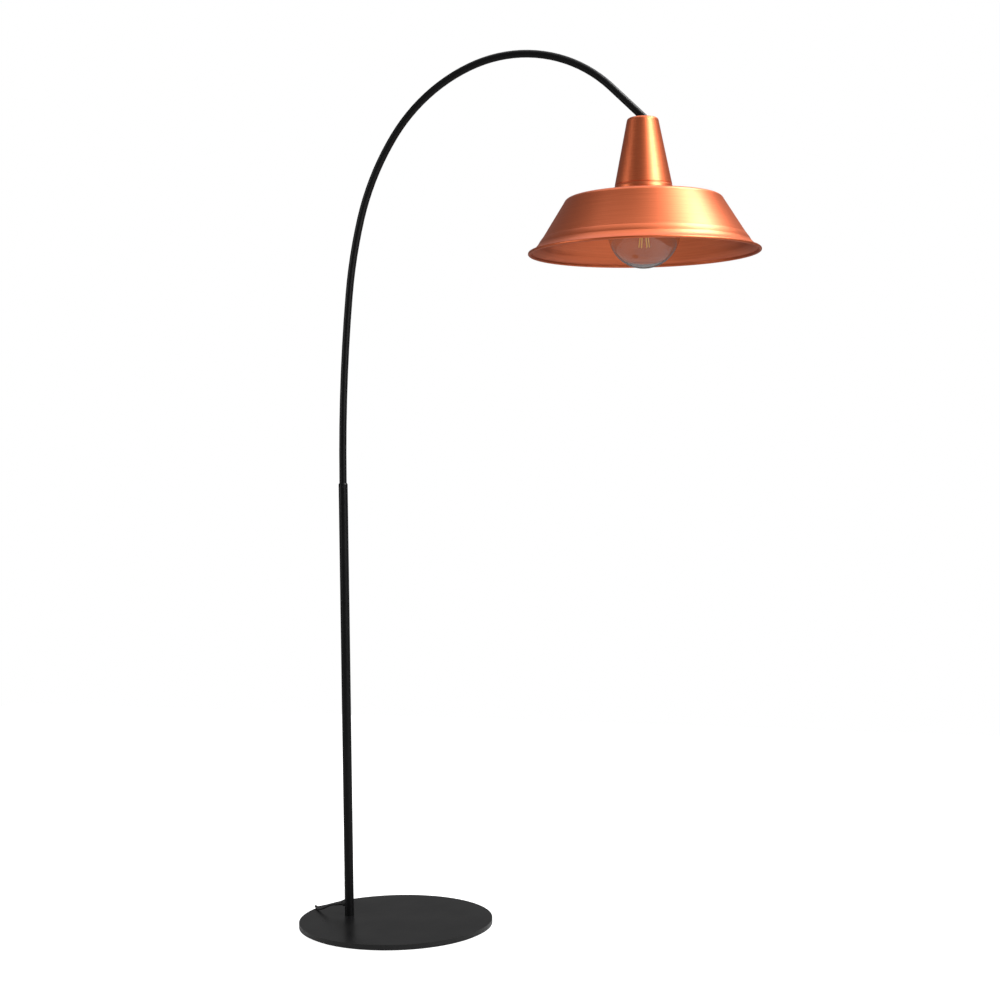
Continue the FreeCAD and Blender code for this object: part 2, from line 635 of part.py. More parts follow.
def laid(shape):
    """Move a shape drawn along +X from the pole's foot onto the lay line."""
    shape.rotate(Vector(0, 0, 0), UP, size("lay_turn"))
    shape.translate(Vector(-size("pole_offset"), 0, 0))
    return shape


def cord_tube(name, points, radius):
    """Round cord on straight runs joined by tangent arcs as large as the runs allow."""
    edges = []
    total = 0.0
    start = points[0]
    for before, corner, after in zip(points, points[1:], points[2:]):
        back = (before - corner)
        ahead = (after - corner)
        shorter = min(back.Length, ahead.Length)
        half = (math.pi - back.getAngle(ahead)) / 2
        reach = 0.45 * shorter
        bend = reach / math.tan(half)
        first = corner + back.normalize() * reach
        last = corner + ahead.normalize() * reach
        inward = (first + last) * 0.5 - corner
        gap = bend / math.cos(half) - bend
        mid = corner + inward.normalize() * gap
        edges.append(Part.LineSegment(start, first).toShape())
        edges.append(Part.Arc(first, mid, last).toShape())
        start = last
        print("%s: radius %.1f, turn %.1f deg" % (name, bend, math.degrees(half) * 2))
    edges.append(Part.LineSegment(start, points[-1]).toShape())
    for edge in edges:
        total += edge.Length
    solid = solid_of(swept(edges, radius))
    expected = total * math.pi * radius ** 2
    print("%s: %.1f long, volume %.1f, section times length %.1f" % (name, total, solid.Volume, expected))
    if abs(solid.Volume - expected) > 0.01 * expected:
        raise ValueError("%s: volume differs from its section times its length" % name)
    return solid, total


def stadium(run, radius, thick):
    """Upright slab with round ends, drawn along +X with its lowest face at z = 0."""
    ends = [Part.makeCylinder(radius, thick, Vector(x, -thick / 2, radius), Vector(0, 1, 0)) for x in (0, run)]
    middle = Part.makeBox(run, thick, radius * 2, Vector(0, -thick / 2, 0))
    return ends[0].fuse(middle).fuse(ends[1]).removeSplitter()


# The cord from the strain relief over the rim of the base and along the floor to the hank
LEAD_ROUTE = (
    (-144.7, 0.0, 35.0), (-154.5, 0.0, 33.3), (-165.0, 2.2, 28.1), (-176.5, 7.5, 22.0),
    (-188.0, 15.0, 18.6), (-198.5, 26.0, 18.2), (-208.5, 39.0, 17.6), (-216.5, 55.0, 10.2),
    (-219.0, 74.0, 4.6), (-212.5, 95.0, 3.0), (-201.5, 115.0, 2.8), (-191.5, 133.0, 3.2), (-186.5, 150.5, 3.9),
    (-188.8, 167.5, 3.7), (-195.2, 182.2, 3.7))
# From the hank to the switch and from the switch to the plug: distance along the lay line, aside, level
TAIL_ROUTE = ((258.0, 0.0, 3.7), (272.0, 0.4, 3.2), (287.0, -0.6, 4.2), (301.0, 0.0, 7.0), (313.0, 0.0, 7.0))
END_ROUTE = (
    (365.0, 0.0, 7.0), (377.0, 0.0, 7.0), (391.0, 0.5, 12.0), (405.0, 0.0, 17.65), (417.0, 0.0, 17.65))


def make_cord():
    radius = size("cord_dia") / 2
    pitch = size("hank_pitch")
    run = size("hank_run")
    inner = size("hank_inner_rad")
    outer_rad = inner + pitch + radius
    thick = 2 * pitch + 2 * radius
    lift = size("hank_tie_thick")
    full = stadium(run, outer_rad, thick)
    window = stadium(run, inner - radius, thick + 2)
    window.translate(Vector(0, 0, pitch + 2 * radius))
    hank = full.cut(window)
    hank.translate(Vector(size("hank_start"), 0, lift))
    hank = laid(hank)
    feature("cord_hank", solid_of(hank))

    lead, lead_long = cord_tube("cord_lead", [Vector(*p) for p in LEAD_ROUTE], radius)
    tail, tail_long = cord_tube("cord_tail", [behind(*p) for p in TAIL_ROUTE], radius)
    end, end_long = cord_tube("cord_end", [behind(*p) for p in END_ROUTE], radius)
    feature("cord_lead", lead)
    feature("cord_tail", tail)
    feature("cord_end", end)

    turns = 2 * (2 * run + 2 * math.pi * (inner + pitch)) + 3 * (2 * run + 2 * math.pi * inner) + run
    inside = size("switch_long")
    total = lead_long + turns + tail_long + end_long + inside
    print("cord: hank %.0f, whole lead about %.0f mm" % (turns, total))

    for step, share in enumerate((0.25, 0.75), start=1):
        high = 2 * outer_rad + 2 * lift
        wide = size("hank_tie_wide")
        band = Part.makeBox(wide, thick + 2 * lift, high, Vector(-wide / 2, -thick / 2 - lift, 0))
        hole = Part.makeBox(wide, thick, 2 * outer_rad, Vector(-wide / 2, -thick / 2, lift))
        tie = band.cut(hole)
        tie.translate(Vector(size("hank_start") + run * share, 0, 0))
        feature("hank_tie_%d" % step, solid_of(laid(tie)))


def make_switch():
    start = size("switch_start")
    long = size("switch_long")
    wide = size("switch_wide")
    high = size("switch_high")
    middle = start + long / 2
    cord = size("cord_dia") / 2
    body = Part.makeBox(long, wide, high, Vector(start, -wide / 2, 0))
    corners = [edge for edge in body.Edges if abs(edge.BoundBox.ZLength - high) < 0.01]
    body = body.makeFillet(6.0, corners)
    rims = [edge for edge in body.Edges if edge.BoundBox.ZLength < 0.01]
    body = body.makeFillet(1.6, rims)
    gap = size("rocker_gap")
    span = size("rocker_long") + 2 * gap
    deep = 4.4
    across = size("rocker_wide") + 0.6
    well = Part.makeBox(span, across, deep + 1, Vector(middle - span / 2, -across / 2, high - deep))
    pivot = Vector(middle, 0, high - 1.6)
    pin_rad = 0.8
    pin_half = across / 2 + 1.6
    pin_way = Part.makeCylinder(pin_rad + 0.05, 2 * pin_half, pivot - Vector(0, pin_half, 0), Vector(0, 1, 0))
    way = Part.makeCylinder(cord, long + 2, Vector(start - 1, 0, high / 2), Vector(1, 0, 0))
    body = body.cut(well).cut(pin_way).cut(way)
    feature("switch_body", solid_of(laid(body)))
    inner = Part.makeCylinder(cord, long, Vector(start, 0, high / 2), Vector(1, 0, 0))
    feature("switch_lead", laid(inner))

    rocker = Part.makeBox(size("rocker_long"), size("rocker_wide"), 3.4,
                          Vector(middle - size("rocker_long") / 2, -size("rocker_wide") / 2, high - 2.4))
    dish = Part.makeCylinder(46.0, wide, Vector(middle, -wide / 2, high + 46.0 + 0.35), Vector(0, 1, 0))
    rocker = rocker.cut(dish)
    pin_half = pin_half - 0.1
    pin = Part.makeCylinder(pin_rad, 2 * pin_half, pivot - Vector(0, pin_half, 0), Vector(0, 1, 0))
    rocker = rocker.fuse(pin)
    rocker.rotate(pivot, Vector(0, 1, 0), -size("rocker_tilt"))
    feature("switch_rocker", solid_of(laid(rocker)))
    hinge = behind(middle, 0, pivot.z)
    print("rocker pivot: %.3f %.3f %.3f" % (hinge.x, hinge.y, hinge.z))


def rounded_face(x, wide, tall, corner, level):
    """Wire of a rounded rectangle across the lay line."""
    slab = Part.makeBox(1.0, wide, tall, Vector(x, -wide / 2, level - tall / 2))
    edges = [edge for edge in slab.Edges if edge.BoundBox.XLength > 0.5]
    slab = slab.makeFillet(corner, edges)
    for face in slab.Faces:
        if abs(face.CenterOfMass.x - x) < 0.01:
            return face.OuterWire
    raise ValueError("no end face")


def make_plug():
    start = size("plug_start")
    end = start + size("plug_long")
    level = size("plug_wide") / 2
    thick = size("plug_thick")
    waist = start + 15.0
    grip = start + 22.0
    boot = Part.makeLoft([rounded_face(start, 8.0, 8.0, 3.9, level),
                          rounded_face(waist, 10.0, 16.0, 4.0, level)], True, True)
    flare = Part.makeLoft([rounded_face(waist, 10.0, 16.0, 4.0, level),
                           rounded_face(grip, thick, size("plug_wide") - 3.0, 4.0, level)], True, True)
    block = Part.makeLoft([rounded_face(grip, thick, size("plug_wide") - 3.0, 4.0, level),
                           rounded_face(end, thick, size("plug_wide"), 4.0, level)], True, True)
    body = boot.fuse(flare).fuse(block)
    pins = []
    for side in (-1, 1):
        place = Vector(end - 6.0, 0, level + side * size("pin_pitch") / 2)
        pins.append(Part.makeCylinder(size("pin_dia") / 2, size("pin_long") + 6.0, place, Vector(1, 0, 0)))
    for pin in pins:
        body = body.cut(pin)
    feature("plug_body", solid_of(laid(body)))
    for step, pin in enumerate(pins, start=1):
        pin = pin.makeFillet(1.2, [pin.Edges[0]])
        feature("plug_pin_%d" % step, solid_of(laid(pin)))


# ---------------------------------------------------------------- check and export
def check_parts():
    for item in PARTS:
        if "Invalid" in item.State or "Error" in item.State:
            raise ValueError("%s: %s" % (item.Label, item.State))
        shape = item.Shape
        if shape.isNull() or not shape.isValid() or len(shape.Solids) != 1 or shape.Volume <= 0:
            raise ValueError("%s is not one valid solid" % item.Label)
        box = shape.optimalBoundingBox(False, False)
        print("%-16s %9.0f mm3  x %.1f %.1f  y %.1f %.1f  z %.1f %.1f" % (
            item.Label, shape.Volume, box.XMin, box.XMax, box.YMin, box.YMax, box.ZMin, box.ZMax))


def export_parts():
    os.makedirs("parts", exist_ok=True)
    for item in PARTS:
        item.Shape.exportStep("parts/%s.step" % item.Label)


if __name__ == "__main__":
    make_base()
    make_pole_fixing()
    make_pole()
    make_gland()
    make_arm()
    make_pole_lead()
    make_stem()
    FOOT = make_neck()
    make_bowl(FOOT)
    make_rivets(FOOT)
    make_bulb(make_holder())
    make_cord()
    make_switch()
    make_plug()
    DOC.recompute()
    check_parts()
    export_parts()
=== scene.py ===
"""Arc floor lamp: finishes, turned and bent pieces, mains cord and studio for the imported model."""

import math

import bmesh
import bpy
from bpy.props import FloatProperty, FloatVectorProperty, IntProperty, PointerProperty
from mathutils import Matrix, Vector


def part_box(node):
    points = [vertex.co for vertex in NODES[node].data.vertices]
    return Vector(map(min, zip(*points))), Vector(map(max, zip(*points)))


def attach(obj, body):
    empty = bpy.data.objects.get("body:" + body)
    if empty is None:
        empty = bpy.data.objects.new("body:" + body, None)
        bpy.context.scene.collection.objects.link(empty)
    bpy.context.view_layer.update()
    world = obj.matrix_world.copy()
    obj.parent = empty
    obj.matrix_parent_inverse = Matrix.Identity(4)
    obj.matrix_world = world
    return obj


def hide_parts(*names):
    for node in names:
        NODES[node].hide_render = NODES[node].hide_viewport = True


bl_info = {
    "name": "Arc floor lamp",
    "version": (1, 0, 0),
    "blender": (4, 5, 0),
    "location": "3D View > Sidebar > Lamp",
    "description": "Finishes, copper shade, globe bulb, cord and studio of an arc floor lamp",
    "category": "Object",
}

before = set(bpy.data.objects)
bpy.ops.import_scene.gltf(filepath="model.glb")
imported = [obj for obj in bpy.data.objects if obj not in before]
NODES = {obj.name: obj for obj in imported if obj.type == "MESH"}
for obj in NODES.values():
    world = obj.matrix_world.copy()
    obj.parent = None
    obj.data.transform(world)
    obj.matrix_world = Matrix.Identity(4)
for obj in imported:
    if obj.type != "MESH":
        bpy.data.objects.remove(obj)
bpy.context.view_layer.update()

MM = 0.001


def centre_of(node):
    """Middle of a CAD node's box."""
    low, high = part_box(node)
    return (Vector(low) + Vector(high)) / 2


SHADE_AXIS = centre_of("shade_bowl").x
POLE_AXIS = centre_of("lower_pole").x
NECK_LOW, NECK_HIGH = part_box("shade_neck")
RIM_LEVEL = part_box("shade_bowl")[0][2]
RIM_RADIUS = (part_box("shade_bowl")[1][0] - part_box("shade_bowl")[0][0]) / 2
GLOBE_LOW, GLOBE_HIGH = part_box("bulb_glass")


# ---------------------------------------------------------------- sizes and colours
class LampFinish(bpy.types.PropertyGroup):
    """Colours and surface qualities that a user would change."""

    copper_light: FloatVectorProperty(
        name="Copper, light", description="Lightest colour of the brushed copper", subtype="COLOR",
        size=3, min=0, max=1, default=(0.74, 0.180, 0.070))
    copper_deep: FloatVectorProperty(
        name="Copper, deep", description="Deepest colour of the brushed copper", subtype="COLOR",
        size=3, min=0, max=1, default=(0.58, 0.122, 0.043))
    copper_roughness: FloatProperty(
        name="Copper roughness", description="Mean roughness of the spun copper", min=0, max=1,
        subtype="FACTOR", default=0.43)
    brush_pitch: FloatProperty(
        name="Brush pitch", description="Distance between brush lines", unit="LENGTH", default=0.0011)
    coat_colour: FloatVectorProperty(
        name="Coat", description="Black powder coat of the base and tubes", subtype="COLOR",
        size=3, min=0, max=1, default=(0.0030, 0.0030, 0.0032))
    coat_roughness: FloatProperty(
        name="Coat roughness", description="Mean roughness of the powder coat", min=0, max=1,
        subtype="FACTOR", default=0.40)


class LampSizes(bpy.types.PropertyGroup):
    """Sizes of the pieces made here."""

    lathe_steps: IntProperty(
        name="Turned steps", description="Facets round a turned piece", min=48, default=224)
    shade_wall: FloatProperty(
        name="Shade wall", description="Thickness of the copper sheet", unit="LENGTH", default=0.0015)
    neck_wall: FloatProperty(
        name="Neck wall", description="Thickness of the neck's sheet", unit="LENGTH", default=0.0012)
    glass_wall: FloatProperty(
        name="Glass wall", description="Thickness of the globe's glass", unit="LENGTH", default=0.001)
    cord_diameter: FloatProperty(
        name="Cord diameter", description="Outside of the mains cord", unit="LENGTH", default=0.005)
    cord_length: FloatProperty(
        name="Cord length", description="From the strain relief to the plug", unit="LENGTH", default=1.8)
    hank_run: FloatProperty(
        name="Hank run", description="Straight part of each fold of the hank", unit="LENGTH", default=0.080)
    hank_inner: FloatProperty(
        name="Hank inner fold", description="Radius of the inner folds", unit="LENGTH", default=0.015)
    hank_pitch: FloatProperty(
        name="Hank pitch", description="Distance between neighbouring turns", unit="LENGTH", default=0.0052)
    boot_rings: IntProperty(
        name="Boot rings", description="Rings moulded on the strain relief", min=2, default=6)
    boot_sag: FloatProperty(
        name="Boot sag", description="How far the strain relief droops", unit="ROTATION",
        default=math.radians(10.0))
    nut_ribs: IntProperty(
        name="Nut ribs", description="Grip ribs round the gland nut", min=6, default=18)


class LampStudio(bpy.types.PropertyGroup):
    """Camera and light."""

    camera_place: FloatVectorProperty(
        name="Camera place", description="Where the camera stands", subtype="XYZ", unit="LENGTH",
        default=(1.3868, -3.4294, 0.973))
    camera_heading: FloatProperty(
        name="Heading", description="Level direction of view, from +X towards +Y", unit="ROTATION",
        default=math.radians(108.317))
    camera_pitch: FloatProperty(
        name="Pitch", description="How far the camera looks down", unit="ROTATION", default=0.0140)
    camera_roll: FloatProperty(
        name="Roll", description="Turn of the camera about its view", unit="ROTATION", default=0.0136)
    lens: FloatProperty(
        name="Lens", description="Focal length on a 36 mm sensor, in millimetres", default=61.23)
    key_power: FloatProperty(
        name="Key light", description="Power of the large soft light", default=165.0)
    fill_power: FloatProperty(
        name="Fill light", description="Power of the light on the other side", default=34.0)
    top_power: FloatProperty(
        name="Top light", description="Power of the wide light overhead", default=34.0)
    rim_power: FloatProperty(
        name="Rim light", description="Power of the light behind the shade", default=100.0)
    floor_glow: FloatProperty(
        name="Floor glow", description="How far the floor is lifted to white as the camera sees it",
        default=1.0)
    floor_half: FloatProperty(
        name="Floor half width", description="Half the side of the floor", unit="LENGTH", default=3.0)


# ---------------------------------------------------------------- node helpers
class Shader:
    """A material's node tree with short calls for the nodes that these finishes use."""

    def __init__(self, name, **values):
        self.material = bpy.data.materials.new(name)
        self.material.use_nodes = True
        self.tree = self.material.node_tree
        self.bsdf = self.tree.nodes["Principled BSDF"]
        for socket, value in values.items():
            self.bsdf.inputs[socket.replace("_", " ")].default_value = value

    def add(self, kind, settings=(), **inputs):
        node = self.tree.nodes.new(kind)
        for attribute, value in dict(settings).items():
            setattr(node, attribute, value)
        for socket, value in inputs.items():
            self.feed(node, socket.replace("_", " "), value)
        return node

    def feed(self, node, socket, value):
        if socket.startswith("in "):
            socket = int(socket.split()[1])
        target = node.inputs[socket]
        if isinstance(value, bpy.types.NodeSocket):
            self.tree.links.new(value, target)
        else:
            target.default_value = value

    def place(self, centre=(0, 0, 0), scale=(1, 1, 1)):
        """Object coordinates measured from a centre."""
        coords = self.add("ShaderNodeTexCoord")
        shift = self.add("ShaderNodeVectorMath", {"operation": "SUBTRACT"}, in_0=coords.outputs["Object"],
                         in_1=tuple(centre))
        return self.add("ShaderNodeVectorMath", {"operation": "MULTIPLY"}, in_0=shift.outputs[0],
                        in_1=tuple(scale)).outputs[0]

    def noise(self, vector, scale, detail=3.0, roughness=0.5):
        node = self.add("ShaderNodeTexNoise", Vector=vector, Scale=scale, Detail=detail, Roughness=roughness)
        return node.outputs["Fac"]

    def math(self, operation, first, second=0.0):
        return self.add("ShaderNodeMath", {"operation": operation}, in_0=first, in_1=second).outputs[0]

    def spread(self, value, low, high, start=0.3, end=0.7):
        """A noise value stretched over a range."""
        node = self.add("ShaderNodeMapRange", Value=value)
        for name, number in (("From Min", start), ("From Max", end), ("To Min", low), ("To Max", high)):
            node.inputs[name].default_value = number
        return node.outputs["Result"]

    def blend(self, factor, first, second):
        node = self.add("ShaderNodeMix", {"data_type": "RGBA"})
        self.feed(node, "Factor", factor)
        for socket, colour in (("in 6", first), ("in 7", second)):
            linked = isinstance(colour, bpy.types.NodeSocket)
            self.feed(node, socket, colour if linked else (*colour[:3], 1.0))
        return node.outputs[2]

    def bump(self, height, distance, strength=1.0):
        node = self.add("ShaderNodeBump", Height=height, Distance=distance, Strength=strength)
        self.feed(self.bsdf, "Normal", node.outputs["Normal"])

    def colour(self, value):
        self.feed(self.bsdf, "Base Color", value)

    def rough(self, value):
        self.feed(self.bsdf, "Roughness", value)


def shaded(colour, factor):
    return tuple(min(1.0, channel * factor) for channel in colour)


# ---------------------------------------------------------------- finishes
def powder_coat(name, colour, roughness, gloss):
    """Baked powder coat: fine orange peel, a trace of dust and small changes of gloss."""
    shader = Shader(name, Specular_IOR_Level=gloss)
    place = shader.place()
    peel = shader.noise(place, 1400.0, 2.0)
    cloud = shader.noise(place, 9.0, 4.0)
    speck = shader.spread(shader.noise(place, 5200.0, 0.0), 0.0, 1.0, 0.62, 0.80)
    body = shader.blend(cloud, shaded(colour, 0.82), shaded(colour, 1.22))
    shader.colour(shader.blend(shader.math("MULTIPLY", speck, 0.35), body, shaded(colour, 3.2)))
    shader.rough(shader.spread(cloud, roughness - 0.05, roughness + 0.06))
    shader.bump(peel, 0.00006, 0.30)
    return shader.material


def spun_copper(name, light, deep, roughness, pitch, axis):
    """Copper sheet spun on a lathe and brushed round its axis, under a thin satin lacquer."""
    shader = Shader(name, Metallic=1.0, Coat_Weight=0.22, Coat_Roughness=0.36)
    place = shader.place((axis, 0.0, 0.0))
    part = shader.add("ShaderNodeSeparateXYZ", Vector=place)
    angle = shader.math("ARCTAN2", part.outputs["Y"], part.outputs["X"])
    out = shader.math("SQRT", shader.math("ADD", shader.math("POWER", part.outputs["X"], 2.0),
                                          shader.math("POWER", part.outputs["Y"], 2.0)))
    along = shader.math("ADD", part.outputs["Z"], shader.math("MULTIPLY", out, -0.7))
    sweep = shader.math("COSINE", angle)
    turn = shader.math("SINE", angle)

    def lines(spacing, run):
        packed = shader.add("ShaderNodeCombineXYZ", X=shader.math("MULTIPLY", sweep, run),
                            Y=shader.math("MULTIPLY", turn, run),
                            Z=shader.math("DIVIDE", along, spacing))
        return shader.noise(packed.outputs[0], 1.0, 4.0, 0.65)

    fine = lines(pitch, 2.2)
    broad = lines(pitch * 3.2, 1.6)
    cloud = shader.noise(place, 7.0, 3.0)
    mixed = shader.math("ADD", shader.math("MULTIPLY", fine, 0.68), shader.math("MULTIPLY", broad, 0.32))
    tone = shader.blend(shader.spread(mixed, 0.0, 1.0, 0.30, 0.70), deep, light)
    shader.colour(shader.blend(shader.spread(cloud, 0.0, 0.14), tone, shaded(deep, 0.90)))
    shader.rough(shader.spread(mixed, roughness + 0.03, roughness - 0.03, 0.30, 0.70))
    shader.bump(fine, 0.00005, 0.40)
    return shader.material


def clear_glass(name, tint, roughness=0.0):
    """Blown soda glass, faintly grey, with slow waves from blowing."""
    shader = Shader(name, Transmission_Weight=1.0, IOR=1.46, Roughness=roughness,
                    Base_Color=(*tint, 1.0), Specular_IOR_Level=0.5)
    wave = shader.noise(shader.place(), 16.0, 1.0)
    shader.bump(wave, 0.0004, 0.10)
    return shader.material


def plain_metal(name, colour, roughness, grain):
    """Plated or machined metal with a fine grain."""
    shader = Shader(name, Metallic=1.0)
    place = shader.place()
    grain_value = shader.noise(place, grain, 4.0)
    cloud = shader.noise(place, 60.0, 2.0)
    shader.colour(shader.blend(cloud, shaded(colour, 0.85), shaded(colour, 1.08)))
    shader.rough(shader.spread(grain_value, roughness - 0.07, roughness + 0.09))
    shader.bump(grain_value, 0.00006, 0.4)
    return shader.material


def moulded(name, colour, roughness, texture, depth, coat=0.0):
    """Injection-moulded plastic or rubber with a spark-eroded texture."""
    shader = Shader(name, Coat_Weight=coat, Coat_Roughness=0.2)
    place = shader.place()
    leather = shader.noise(place, texture, 3.0, 0.6)
    cloud = shader.noise(place, 35.0, 3.0)
    shader.colour(shader.blend(cloud, shaded(colour, 0.8), shaded(colour, 1.3)))
    shader.rough(shader.spread(leather, roughness - 0.06, roughness + 0.08))
    shader.bump(leather, depth, 0.6)
    return shader.material


def felt(name, colour):
    """Needled felt: short fibres lying all ways."""
    shader = Shader(name, Roughness=0.95, Sheen_Weight=0.5, Sheen_Roughness=0.6)
    place = shader.place()
    fibre = shader.noise(place, 900.0, 6.0, 0.75)
    tuft = shader.noise(place, 140.0, 3.0)
    shader.colour(shader.blend(shader.spread(fibre, 0.0, 1.0), shaded(colour, 0.6), shaded(colour, 2.0)))
    shader.bump(shader.math("ADD", fibre, tuft), 0.0006, 0.8)
    return shader.material


def woven(name, colour):
    """Nylon hook-and-loop tape: a close weave with fuzz."""
    shader = Shader(name, Roughness=0.85, Sheen_Weight=0.35, Sheen_Roughness=0.5)
    place = shader.place()
    weave = shader.add("ShaderNodeTexVoronoi", Vector=place, Scale=900.0).outputs["Distance"]
    fuzz = shader.noise(place, 2400.0, 4.0)
    shader.colour(shader.blend(weave, shaded(colour, 1.8), shaded(colour, 0.5)))
    shader.bump(shader.math("ADD", weave, fuzz), 0.0004, 0.7)
    return shader.material


def phosphor(name, colour):
    """Phosphor gel, yellow, on the light sticks, with the row of chips showing faintly and a faint painted
    glow.
    """
    shader = Shader(name, Roughness=0.42, Subsurface_Weight=0.15, Subsurface_Radius=(0.004, 0.002, 0.001))
    # painted glow: a faint orange emission so the sticks show through the glass; the bulb is not lit
    shader.bsdf.inputs["Emission Strength"].default_value = 0.35
    shader.bsdf.inputs["Emission Color"].default_value = (1.0, 0.55, 0.12, 1.0)
    place = shader.place()
    height = shader.add("ShaderNodeSeparateXYZ", Vector=place).outputs["Z"]
    chips = shader.math("SINE", shader.math("MULTIPLY", height, 2400.0))
    shader.colour(shader.blend(shader.spread(chips, 0.0, 1.0, -1.0, 1.0), colour, shaded(colour, 0.72)))
    shader.bump(shader.noise(place, 1500.0), 0.0001, 0.5)
    return shader.material


def glazed(name, colour):
    """White glazed porcelain with faint crawl in the glaze."""
    shader = Shader(name, Coat_Weight=0.6, Coat_Roughness=0.06, Roughness=0.3)
    place = shader.place()
    cloud = shader.noise(place, 90.0, 3.0)
    shader.colour(shader.blend(cloud, shaded(colour, 0.93), colour))
    shader.bump(cloud, 0.0002, 0.3)
    return shader.material


def dress(material, *nodes):
    """Give CAD nodes their finish."""
    for name in nodes:
        mesh = NODES[name].data
        mesh.materials.clear()
        mesh.materials.append(material)


# ---------------------------------------------------------------- mesh helpers
def leg_points(first, leg, steps=14):
    """Points after first along one straight or round leg of an outline, in (radius, level)."""
    end = Vector(leg[:2])
    if len(leg) == 2:
        return [end]
    start = Vector(first[:2])
    through = Vector(leg[2])
    # centre of the circle through the three points
    a = 2 * (through - start)
    b = 2 * (end - start)
    c = through.length_squared - start.length_squared
    d = end.length_squared - start.length_squared
    det = a.x * b.y - a.y * b.x
    centre = Vector(((c * b.y - d * a.y) / det, (a.x * d - b.x * c) / det))
    radius = (start - centre).length
    from_turn = math.atan2(start.y - centre.y, start.x - centre.x)
    sweep = math.atan2(end.y - centre.y, end.x - centre.x) - from_turn
    via = math.atan2(through.y - centre.y, through.x - centre.x) - from_turn
    side = 1.0 if via % (2 * math.pi) < sweep % (2 * math.pi) else -1.0
    total = (side * sweep) % (2 * math.pi)
    points = []
    for step in range(1, steps + 1):
        turn = from_turn + side * total * step / steps
        points.append(centre + radius * Vector((math.cos(turn), math.sin(turn))))
    return points


def outline(legs, steps=14):
    points = [Vector(legs[0][:2])]
    for first, leg in zip(legs, legs[1:]):
        points += leg_points(first, leg, steps)
    return points


def inside_of(points, wall):
    """The same line moved to its right-hand side by the wall, as sheet metal has it."""
    moved = []
    for k, point in enumerate(points):
        before = (point - points[k - 1]).normalized() if k else None
        after = (points[k + 1] - point).normalized() if k + 1 < len(points) else None
        mean = ((before or after) + (after or before)).normalized()
        deep = wall / max(0.6, mean.dot(after or before))
        moved.append(point + Vector((mean.y, -mean.x)) * deep)
    return moved


def turned(name, points, axis, steps, closed=True):
    """Mesh of a line of (radius, level) points turned about the upright through axis."""
    mesh = bpy.data.meshes.new(name)
    work = bmesh.new()
    rings = []
    for step in range(steps):
        turn = 2 * math.pi * step / steps
        across = math.cos(turn)
        aside = math.sin(turn)
        rings.append([work.verts.new((axis + p.x * across, p.x * aside, p.y)) for p in points])
    count = len(points)
    last = count if closed else count - 1
    for step in range(steps):
        here = rings[step]
        there = rings[(step + 1) % steps]
        for k in range(last):
            n = (k + 1) % count
            work.faces.new((here[k], there[k], there[n], here[n]))
    bmesh.ops.remove_doubles(work, verts=work.verts, dist=1e-6)
    bmesh.ops.recalc_face_normals(work, faces=work.faces)
    for face in work.faces:
        face.smooth = True
    work.to_mesh(mesh)
    work.free()
    mesh.set_sharp_from_angle(angle=math.radians(32))
    return add_piece(name, mesh)


def add_piece(name, mesh, material=None):
    piece = bpy.data.objects.new(name, mesh)
    bpy.context.scene.collection.objects.link(piece)
    if material:
        mesh.materials.clear()
        mesh.materials.append(material)
    return piece


def finish_piece(piece, material, body):
    piece.data.materials.clear()
    piece.data.materials.append(material)
    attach(piece, body)
    return piece


# ---------------------------------------------------------------- geometry nodes
class Grower:
    """A Geometry Nodes tree with named inputs, turned into a plain mesh when it is done."""

    def __init__(self, name, inputs):
        self.tree = bpy.data.node_groups.new(name, "GeometryNodeTree")
        self.tree.interface.new_socket("Geometry", in_out="INPUT", socket_type="NodeSocketGeometry")
        self.tree.interface.new_socket("Geometry", in_out="OUTPUT", socket_type="NodeSocketGeometry")
        self.keys = {}
        for label, kind, value in inputs:
            socket = self.tree.interface.new_socket(label, in_out="INPUT", socket_type=kind)
            self.keys[label] = (socket.identifier, value)
        self.inlet = self.tree.nodes.new("NodeGroupInput")
        self.outlet = self.tree.nodes.new("NodeGroupOutput")

    def add(self, kind, settings=(), **inputs):
        node = self.tree.nodes.new(kind)
        for attribute, value in dict(settings).items():
            setattr(node, attribute, value)
        for socket, value in inputs.items():
            target = node.inputs[socket.replace("_", " ")]
            if isinstance(value, bpy.types.NodeSocket):
                self.tree.links.new(value, target)
            else:
                target.default_value = value
        return node

    def value(self, label):
        return self.inlet.outputs[label]

    def grow(self, name, geometry):
        """Realize the instances, set the material and return the plain piece."""
        solid = self.add("GeometryNodeRealizeInstances", Geometry=geometry)
        painted = self.add("GeometryNodeSetMaterial", Geometry=solid.outputs[0],
                           Material=self.value("Material"))
        self.tree.links.new(painted.outputs[0], self.outlet.inputs[0])
        holder = bpy.data.objects.new(name, bpy.data.meshes.new(name + "_seed"))
        bpy.context.scene.collection.objects.link(holder)
        modifier = holder.modifiers.new("Grow", "NODES")
        modifier.node_group = self.tree
        for identifier, value in self.keys.values():
            modifier[identifier] = value
        bpy.context.view_layer.update()
        seen = holder.evaluated_get(bpy.context.evaluated_depsgraph_get())
        mesh = bpy.data.meshes.new_from_object(seen)
        holder.modifiers.remove(modifier)
        holder.data = mesh
        holder.name = name
        for polygon in mesh.polygons:
            polygon.use_smooth = True
        mesh.set_sharp_from_angle(angle=math.radians(40))
        return holder


